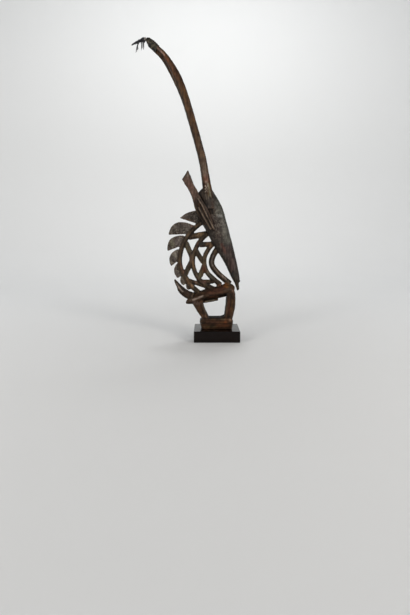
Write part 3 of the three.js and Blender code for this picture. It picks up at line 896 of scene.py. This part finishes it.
# Oiled hardwood: satin where it was handled, duller where dust lies, and mottled pale where a crust of old
# libations dried on the forehead and fins. Its grain shows as short streaks, upright except on the body
# and the base block, where the tool marks run along.
GRAIN = {"width": 3.4, "stretch": 0.1, "mottle": 15, "fleck": 8, "pore": 2.4}
wood, tree = material("oiled_hardwood")
place = add(tree, "ShaderNodeTexCoord").outputs["Object"]
colour_and_painted_light_in, standing_out_in, crust_in, dusty_in, lying_in = (
    add(tree, "ShaderNodeAttribute", attribute_name=name).outputs["Color" if name == "colour_and_painted_light" else "Fac"]
    for name in ("colour_and_painted_light", "standing_out", "crust", "dusty", "lying")
)
upright_grain, lying_grain = (
    add(tree, "ShaderNodeTexNoise", {
        "Vector": add(tree, "ShaderNodeMapping", {"Vector": place, "Scale": squeezed}).outputs["Vector"],
        "Scale": 1 / (GRAIN["width"] * MM) / 2, "Detail": 4.0, "Roughness": 0.62,
    }).outputs["Fac"]
    for squeezed in ((1, 1, GRAIN["stretch"]), (GRAIN["stretch"], 1, 1))
)
grain = add(tree, "ShaderNodeMix", {0: lying_in, 2: upright_grain, 3: lying_grain}).outputs[0]
mottling, flecks, pores = (
    add(tree, "ShaderNodeTexNoise", {
        "Vector": place, "Scale": 1 / (GRAIN[name] * MM), "Detail": 3.0, "Roughness": roughness,
    }).outputs["Fac"]
    for name, roughness in (("mottle", 0.6), ("fleck", 0.65), ("pore", 0.6))
)
streak = add(tree, "ShaderNodeValToRGB", {"Fac": grain}, [(0.36, 0.5), (0.5, 0.95), (0.66, 1.7)])
blotch = add(tree, "ShaderNodeValToRGB", {"Fac": mottling}, [(0.36, 0.5), (0.5, 0.95), (0.66, 1.65)])
pattern = add(tree, "ShaderNodeMix", {
    0: crust_in, 6: streak.outputs["Color"], 7: blotch.outputs["Color"],
}, data_type="RGBA")
streaked = add(tree, "ShaderNodeMix", {
    0: 1.0, 6: colour_and_painted_light_in, 7: pattern.outputs[2],
}, data_type="RGBA", blend_type="MULTIPLY")
high = add(tree, "ShaderNodeMapRange", {
    "Value": standing_out_in, "From Min": 0.15, "From Max": 0.9, "To Min": 0.0, "To Max": 0.14,
})
low = add(tree, "ShaderNodeMapRange", {
    "Value": standing_out_in, "From Min": -0.12, "From Max": -0.75, "To Min": 0.0, "To Max": 0.85,
})
pale = add(tree, "ShaderNodeValToRGB", {"Fac": flecks}, [(0.52, 0.0), (0.64, 0.6)])
crusted = add(tree, "ShaderNodeMath", {0: pale.outputs["Color"], 1: crust_in}, operation="MULTIPLY")
# Polish is laid over the high places, soot and painted shade over the low ones, and pale flecks over both
# in the crust
colour = streaked.outputs[2]
for amount, laid in (
    (high.outputs["Result"], "#7a624e"), (low.outputs["Result"], "#120c08"),
    (crusted.outputs["Value"], "#857e70"),
):
    colour = add(tree, "ShaderNodeMix", {
        0: amount, 6: colour, 7: (*linear(laid), 1),
    }, data_type="RGBA").outputs[2]
satin = add(tree, "ShaderNodeMapRange", {
    "Value": grain, "From Min": 0.3, "From Max": 0.7, "To Min": 0.5, "To Max": 0.36,
})
dull = add(tree, "ShaderNodeMath", {
    0: crust_in, 1: 0.16, 2: satin.outputs["Result"],
}, operation="MULTIPLY_ADD")
dust = add(tree, "ShaderNodeMath", {
    0: dusty_in, 1: 0.35, 2: dull.outputs["Value"],
}, operation="MULTIPLY_ADD")
grain_bump = add(tree, "ShaderNodeBump", {"Height": grain, "Strength": 0.5, "Distance": 0.0008})
bump = add(tree, "ShaderNodeBump", {
    "Height": pores, "Strength": 0.25, "Distance": 0.0006, "Normal": grain_bump.outputs["Normal"],
})
shader = add(tree, "ShaderNodeBsdfPrincipled", {
    "Base Color": colour, "Roughness": dust.outputs["Value"], "IOR": 1.5,
    "Specular IOR Level": 0.13, "Normal": bump.outputs["Normal"],
})
add(tree, "ShaderNodeOutputMaterial", {"Surface": shader.outputs["BSDF"]})
crest_mesh.materials.append(wood)
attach(crest, "root")
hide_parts("crest_carving")

# Plinth: a square-cut block of hardwood, stained black-brown and lacquered to a high gloss, with its
# edges just broken. The carving stands on it.
PLINTH = {"size": (186, 160, 46), "middle": -0.9, "edge": 1.6}
width, depth, height = PLINTH["size"]
plinth_form = bmesh.new()
bmesh.ops.create_cube(plinth_form, size=1)
bmesh.ops.scale(plinth_form, vec=(width * MM, depth * MM, height * MM), verts=plinth_form.verts)
bmesh.ops.translate(plinth_form, vec=(PLINTH["middle"] * MM, 0, height / 2 * MM), verts=plinth_form.verts)
bmesh.ops.bevel(
    plinth_form, geom=plinth_form.edges[:], offset=PLINTH["edge"] * MM, segments=4, profile=0.5,
    affect="EDGES", material=-1,
)
plinth_mesh = smooth_faced(meshed(plinth_form, "lacquered_plinth"))
plinth_piece = placed("lacquered_plinth", plinth_mesh)
weighted = plinth_piece.modifiers.new("flat_faces", "WEIGHTED_NORMAL")
weighted.keep_sharp = True

# Black lacquer over stained wood: deep gloss with a faint ripple, a haze that dulls it in broad patches,
# and a little brown in the long figure of the stain beneath.
LACQUER = {"haze": 40, "figure": 7, "stretch": 0.08}
lacquer, tree = material("black_lacquer")
place = add(tree, "ShaderNodeTexCoord").outputs["Object"]
haze = add(tree, "ShaderNodeTexNoise", {"Vector": place, "Scale": 1 / (LACQUER["haze"] * MM), "Detail": 4.0})
lengthwise = add(tree, "ShaderNodeMapping", {"Vector": place, "Scale": (LACQUER["stretch"], 1, 1)})
figure = add(tree, "ShaderNodeTexNoise", {
    "Vector": lengthwise.outputs["Vector"], "Scale": 1 / (LACQUER["figure"] * MM), "Detail": 3.0,
})
stain = add(tree, "ShaderNodeValToRGB", {
    "Fac": figure.outputs["Fac"],
}, [(0.35, linear("#0a0605")), (0.65, linear("#120906"))])
gloss = add(tree, "ShaderNodeMapRange", {
    "Value": haze.outputs["Fac"], "From Min": 0.3, "From Max": 0.7, "To Min": 0.1, "To Max": 0.24,
})
ripple = add(tree, "ShaderNodeBump", {
    "Height": haze.outputs["Fac"], "Strength": 0.1, "Distance": 0.0008,
})
shader = add(tree, "ShaderNodeBsdfPrincipled", {
    "Base Color": stain.outputs["Color"], "Roughness": gloss.outputs["Result"], "IOR": 1.48,
    "Specular IOR Level": 0.2, "Normal": ripple.outputs["Normal"],
})
add(tree, "ShaderNodeOutputMaterial", {"Surface": shader.outputs["BSDF"]})
plinth_mesh.materials.append(lacquer)
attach(plinth_piece, "root")
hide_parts("plinth")

# Tip binding: a strip of hide wound tightly round both horn tips while wet, so that it dried hard in
# overlapping turns. It is dusty, with lumps along its underside where the strip was tucked in.

# The middle of the binding, from its mouth to the tuft, in x and z, and its half height and half width
BINDING = [
    (-228, 1118, 13, 15), (-239, 1126.5, 14, 15.5), (-250.5, 1136.5, 13.8, 14), (-261, 1147.2, 10, 11),
    (-269.5, 1151, 6.4, 6.8),
]
# Each turn of the strip swells to its free edge, and starts in a narrow groove
STRIP = {"turns": 7, "edge": 0.9, "groove": 0.5, "groove_width": 0.12}
# Crumples all over and lumps on the underside: their height, and how many there are round and along it
CRUMPLES = {"height": 0.9, "round": 2.4, "along": 5}
LUMPS = {"height": 1.6, "round": 2, "along": 9, "seed": 4.2}
# The mouth is drawn in round the horns, and its middle is sunk out of sight between them
MOUTH = {"drawn_in": 0.16, "length": 0.03, "sunk": 3.0}
ROUNDED_END = (0.93, 1.06)
bind_line = spline([(x, z) for x, z, _, _ in BINDING])
bind_high, bind_deep = column(BINDING, 2), column(BINDING, 3)


def binding_place(t, across, depth):
    turn = math.atan2(depth, across) / (2 * math.pi)
    wound = (t * STRIP["turns"] + turn) % 1.0
    lip = STRIP["edge"] * (wound**3) - STRIP["groove"] * math.exp(-((wound / STRIP["groove_width"]) ** 2))
    crumple = noise.fractal(
        Vector((across * CRUMPLES["round"], depth * CRUMPLES["round"], t * CRUMPLES["along"])), 1.0, 2.0, 3
    )
    lump = noise.noise(Vector((t * LUMPS["along"], depth * LUMPS["round"], LUMPS["seed"])))
    lump = LUMPS["height"] * max(0.0, across) ** 2 * max(0.0, lump)
    grow = lip + CRUMPLES["height"] * crumple + lump
    mouth = 1 - MOUTH["drawn_in"] * math.exp(-((t / MOUTH["length"]) ** 2))
    rounded = math.sqrt(max(0.0, 1 - smoothstep(t, *ROUNDED_END)))
    high = (bind_high(t)[0].y + grow) * mouth * rounded
    deep = (bind_deep(t)[0].y + grow) * mouth * rounded
    sunk = 0.0
    if abs(across) + abs(depth) < 0.01:
        high = deep = 0.0
        sunk = MOUTH["sunk"] if t < 0.01 else 0.0
    centre, along = bind_line(t)
    spot = centre + along * sunk + left_of(along) * high * across
    return Vector((spot.x, deep * depth, spot.y)) * MM


binding_form = tube(binding_place, sides=72, steps=96)
bmesh.ops.recalc_face_normals(binding_form, faces=binding_form.faces)
binding_mesh = smooth_faced(meshed(binding_form, "hide_binding"))
# Soot and old glue in dark lumps along the underside and at the tuft: middle and reach
SOOT = [((-257, 1126), 9), ((-245, 1112.5), 9), ((-262, 1148), 6), ((-236, 1106.5), 5)]
# Oil from the horns has reddened the upper side, beyond a slanting line
OIL = {"from": Vector((-229, 1117)), "way": Vector((0.68, 0.73)), "begins": 2, "full": 8}
bind_spots = [Vector((vert.co.x, vert.co.z)) / MM for vert in binding_mesh.vertices]
note(binding_mesh, "soot", [
    max(smoothstep((spot - Vector(middle)).length, reach, reach / 2) for middle, reach in SOOT)
    for spot in bind_spots
])
note(binding_mesh, "oiled", [
    smoothstep((spot - OIL["from"]) @ OIL["way"], OIL["begins"], OIL["full"]) for spot in bind_spots
])
binding_piece = placed("hide_binding", binding_mesh)

# Dried rawhide: hard, matt and grey-brown, mottled with dust and small pale flecks where the hair side
# shows, and creased across the strip.
HIDE = {"mottle": 9, "speck": 2.4}
hide, tree = material("dried_rawhide")
place = add(tree, "ShaderNodeTexCoord").outputs["Object"]
mottled, specks = (
    add(tree, "ShaderNodeTexNoise", {
        "Vector": place, "Scale": 1 / (HIDE[name] * MM), "Detail": detail,
    }).outputs["Fac"]
    for name, detail in (("mottle", 5.0), ("speck", 3.0))
)
tone = add(tree, "ShaderNodeValToRGB", {
    "Fac": mottled,
}, [(0.36, linear("#16120d")), (0.5, linear("#2b261b")), (0.64, linear("#534b38"))])
pale_specks = add(tree, "ShaderNodeValToRGB", {"Fac": specks}, [(0.6, 0.0), (0.72, 0.8)])
oil_in, soot_in = (
    add(tree, "ShaderNodeAttribute", attribute_name=name).outputs["Fac"] for name in ("oiled", "soot")
)
colour = tone.outputs["Color"]
for amount, laid in ((pale_specks.outputs["Color"], "#8f876c"), (oil_in, "#1f1310"), (soot_in, "#070504")):
    colour = add(tree, "ShaderNodeMix", {
        0: amount, 6: colour, 7: (*linear(laid), 1),
    }, data_type="RGBA").outputs[2]
creases = add(tree, "ShaderNodeBump", {"Height": specks, "Strength": 0.7, "Distance": 0.0008})
shader = add(tree, "ShaderNodeBsdfPrincipled", {
    "Base Color": colour, "Roughness": 0.72, "IOR": 1.45, "Normal": creases.outputs["Normal"],
})
add(tree, "ShaderNodeOutputMaterial", {"Surface": shader.outputs["BSDF"]})
binding_mesh.materials.append(hide)
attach(binding_piece, "root")
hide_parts("tip_binding")

# Hair tuft: a lock of stiff black animal hair whose root is tied into the end of the binding. Most of it
# droops in one point, and a few wisps have slipped out below.
TUFT_ROOT = Vector((-272, 0, 1152.2))
LOCKS = [
    # Where a lock ends, in x and z from the root, where it droops as shares of that, the spread of its
    # end, how many strands it has, and how thick they are
    ((-55, -21), (0.6, 0.45), 2.2, 130, 0.55),
    ((-40, -16), (0.6, 0.36), 3.2, 60, 0.55),
    ((-39, -47), (0.74, 0.34), 1.6, 36, 0.46),
    ((-10, -38), (0.8, 0.3), 1.2, 24, 0.5),
    ((-18, -39), (0.8, 0.3), 1.2, 24, 0.5),
    ((-14, -35), (0.8, 0.3), 4.0, 26, 0.26),
    ((-9, -13), (0.5, 0.4), 2.6, 40, 0.45),
    ((-24, -14), (0.6, 0.36), 4.0, 26, 0.45),
]
STRAND = {"steps": 9, "root": 4.2, "crown": 6.0, "belly": 1.5, "waver": 1.2, "taper": 0.75, "shortest": 0.72}
# Where a lock rises before it droops: straight out or towards its end, and a little lower for a low end
CROWN = {"out": -9, "share": 0.3, "towards_end": 0.4, "height": 0.6, "drop": 0.04}


def drawn(name, thickness, roundness):
    """A curve that is swept to a round strand or thread"""
    curve = bpy.data.curves.new(name, "CURVE")
    curve.dimensions = "3D"
    curve.bevel_depth = thickness * MM
    curve.bevel_resolution = roundness
    return curve


random.seed(7)
tuft_curve = drawn("hair_lock", 1, 1)
for (end_x, end_z), (bend_x, bend_z), spread, strands, thick in LOCKS:
    for _ in range(strands):
        turn = random.uniform(0, 2 * math.pi)
        out = math.sqrt(random.random())
        ring = Vector((0, math.cos(turn), math.sin(turn))) * out
        fan = Vector((-end_z, 0, end_x)).normalized() * ring.z + Vector((0, ring.y, 0))
        reach = random.uniform(STRAND["shortest"], 1.0)
        tip = Vector((end_x, 0, end_z)) * reach + fan * spread
        crown_x = lerp(CROWN["out"], end_x * CROWN["share"], CROWN["towards_end"])
        crown = Vector((crown_x, 0, CROWN["height"] - CROWN["drop"] * abs(end_z)))
        belly = Vector((end_x * bend_x, 0, end_z * bend_z)) + fan * spread * STRAND["belly"]
        strand_line = spline([ring * STRAND["root"], crown + ring * STRAND["crown"], belly, tip])
        line = tuft_curve.splines.new("POLY")
        line.points.add(STRAND["steps"])
        for n, spot in enumerate(line.points):
            t = n / STRAND["steps"]
            waver = Vector((0, noise.noise(Vector((t * 2, turn, 1))), noise.noise(Vector((t * 2, turn, 9)))))
            at = (TUFT_ROOT + strand_line(t)[0] + waver * STRAND["waver"] * t) * MM
            spot.co = (*at, 1)
            spot.radius = thick * (1 - STRAND["taper"] * t**2)
lock_mesh = solid(placed("hair_lock", tuft_curve))
lock_piece = placed("hair_lock", lock_mesh)

# Black hair: near black with a cool blue-grey sheen where the light runs along the strands
HAIR_STREAK = 3
hair, tree = material("black_hair")
place = add(tree, "ShaderNodeTexCoord").outputs["Object"]
strand = add(tree, "ShaderNodeTexNoise", {"Vector": place, "Scale": 1 / (HAIR_STREAK * MM), "Detail": 2.0})
tone = add(tree, "ShaderNodeValToRGB", {
    "Fac": strand.outputs["Fac"],
}, [(0.35, linear("#0b0b11")), (0.65, linear("#26262f"))])
shader = add(tree, "ShaderNodeBsdfPrincipled", {
    "Base Color": tone.outputs["Color"], "Roughness": 0.42, "IOR": 1.55,
})
add(tree, "ShaderNodeOutputMaterial", {"Surface": shader.outputs["BSDF"]})
lock_mesh.materials.append(hair)
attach(lock_piece, "root")
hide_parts("hair_tuft")

# Tuft thread: undyed cotton wound five times round the neck of the tuft, with a short loose end. It is
# wound by hand, so its turns are never quite even.
WINDING = {"turns": 5, "steps": 18, "radius": 5.9, "pitch": 0.95, "begins": -0.5, "thread": 0.55}
LOOSE_END = {"steps": 6, "lift": 0.5}
UNEVEN = {"by": 0.25, "every": 1.7}
NECK_ALONG = Vector((-0.93, 0, 0.3)).normalized()
NECK_ACROSS = Vector((0, 1, 0))
neck_up = NECK_ALONG.cross(NECK_ACROSS).normalized()
wind_curve = drawn("tuft_winding", WINDING["thread"], 2)
line = wind_curve.splines.new("POLY")
wound_steps = WINDING["turns"] * WINDING["steps"]
line.points.add(wound_steps + LOOSE_END["steps"])
for n, spot in enumerate(line.points):
    turn = 2 * math.pi * n / WINDING["steps"]
    radius = WINDING["radius"] + LOOSE_END["lift"] * max(0, n - wound_steps)
    ahead = WINDING["begins"] + WINDING["pitch"] * n / WINDING["steps"]
    ahead = ahead + UNEVEN["by"] * math.sin(turn * UNEVEN["every"])
    at = TUFT_ROOT + NECK_ALONG * ahead
    at = at + NECK_ACROSS * radius * math.cos(turn) + neck_up * radius * math.sin(turn)
    spot.co = (*(at * MM), 1)
wind_mesh = solid(placed("tuft_winding", wind_curve))
wind_piece = placed("tuft_winding", wind_mesh)

# Cotton thread: soft, matt and off-white, greyed by handling
COTTON_TWIST = 1.5
cotton, tree = material("cotton_thread")
place = add(tree, "ShaderNodeTexCoord").outputs["Object"]
twist = add(tree, "ShaderNodeTexNoise", {"Vector": place, "Scale": 1 / (COTTON_TWIST * MM), "Detail": 2.0})
tone = add(tree, "ShaderNodeValToRGB", {
    "Fac": twist.outputs["Fac"],
}, [(0.3, linear("#7c7672")), (0.7, linear("#a49c95"))])
shader = add(tree, "ShaderNodeBsdfPrincipled", {"Base Color": tone.outputs["Color"], "Roughness": 0.9})
add(tree, "ShaderNodeOutputMaterial", {"Surface": shader.outputs["BSDF"]})
wind_mesh.materials.append(cotton)
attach(wind_piece, "root")
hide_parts("tuft_thread")

# The room: a pale floor that curves up into a pale wall all round, two soft lights in front, four
# that wash the wall, and a camera at the height and tilt of the photograph.
ROOM = {"flat": 2.6, "curve": 1.4, "height": 4.2, "steps": 12}
room_form = bmesh.new()
profile = [(0.0, 0, 0), (ROOM["flat"], 0, 0)]
for n in range(1, ROOM["steps"] + 1):
    angle = math.pi / 2 * n / ROOM["steps"]
    across = ROOM["flat"] + ROOM["curve"] * math.sin(angle)
    profile.append((across, 0, ROOM["curve"] * (1 - math.cos(angle))))
profile.append((ROOM["flat"] + ROOM["curve"], 0, ROOM["height"]))
profile = [room_form.verts.new(spot) for spot in profile]
lines = [room_form.edges.new(pair) for pair in zip(profile, profile[1:])]
bmesh.ops.spin(
    room_form, geom=profile + lines, axis=(0, 0, 1), cent=(0, 0, 0), angle=2 * math.pi, steps=64,
    use_merge=True,
)
bmesh.ops.remove_doubles(room_form, verts=room_form.verts, dist=0.0005)
bmesh.ops.recalc_face_normals(room_form, faces=room_form.faces)
bmesh.ops.reverse_faces(room_form, faces=room_form.faces)
room_mesh = smooth_faced(meshed(room_form, "pale_room"))
room = placed("pale_room", room_mesh)
paper, tree = material("pale_paper")
shader = add(tree, "ShaderNodeBsdfPrincipled", {
    "Base Color": (*linear("#e3e4e4"), 1), "Roughness": 0.9, "Specular IOR Level": 0.1,
})
add(tree, "ShaderNodeOutputMaterial", {"Surface": shader.outputs["BSDF"]})
room_mesh.materials.append(paper)

LIGHTS = [
    # name, place, aim, size, watts, spread, colour
    ("right_softbox", (2.2, -2.5, 1.35), (-0.05, 0, 1.1), 0.95, 19, 110, "#fff7ee"),
    ("left_softbox", (-2.4, -2.4, 1.35), (-0.05, 0, 1.1), 0.95, 12, 110, "#fff8f1"),
    ("back_wash", (0.0, 1.6, 3.9), (0, 3.8, 0.3), 1.2, 54, 160, "#ffffff"),
    ("left_wash", (-1.5, -0.2, 3.9), (-3.8, -0.9, 1.0), 1.6, 26, 120, "#ffffff"),
    ("right_wash", (1.5, -0.2, 3.9), (3.8, -0.9, 1.0), 1.6, 26, 120, "#ffffff"),
    ("front_wash", (0.0, -1.6, 3.9), (0, -4.0, 1.0), 1.6, 9, 120, "#ffffff"),
]
for name, spot, aim, size, watts, spread, colour in LIGHTS:
    light = bpy.data.lights.new(name, "AREA")
    light.size = size
    light.energy = watts
    light.spread = math.radians(spread)
    light.color = linear(colour)
    holder = placed(name, light)
    holder.location = spot
    holder.rotation_euler = (Vector(aim) - Vector(spot)).to_track_quat("-Z", "Y").to_euler()
    holder.visible_camera = False

DAYLIGHT = {"colour": (0.9, 0.92, 0.95, 1), "strength": 0.25}
world = bpy.data.worlds.new("soft_daylight")
world.use_nodes = True
world.node_tree.nodes["Background"].inputs["Color"].default_value = DAYLIGHT["colour"]
world.node_tree.nodes["Background"].inputs["Strength"].default_value = DAYLIGHT["strength"]
bpy.context.scene.world = world
bpy.context.scene.view_settings.view_transform = "Standard"

CAMERA = {"place": (-0.049, -1.70, 0.403), "tilt": 80.9, "lens": 24.29, "sensor": 36}
camera_data = bpy.data.cameras.new("camera")
camera_data.lens = CAMERA["lens"]
camera_data.sensor_width = CAMERA["sensor"]
camera = placed("camera", camera_data)
camera.location = CAMERA["place"]
camera.rotation_euler = (math.radians(CAMERA["tilt"]), 0, 0)
bpy.context.scene.camera = camera
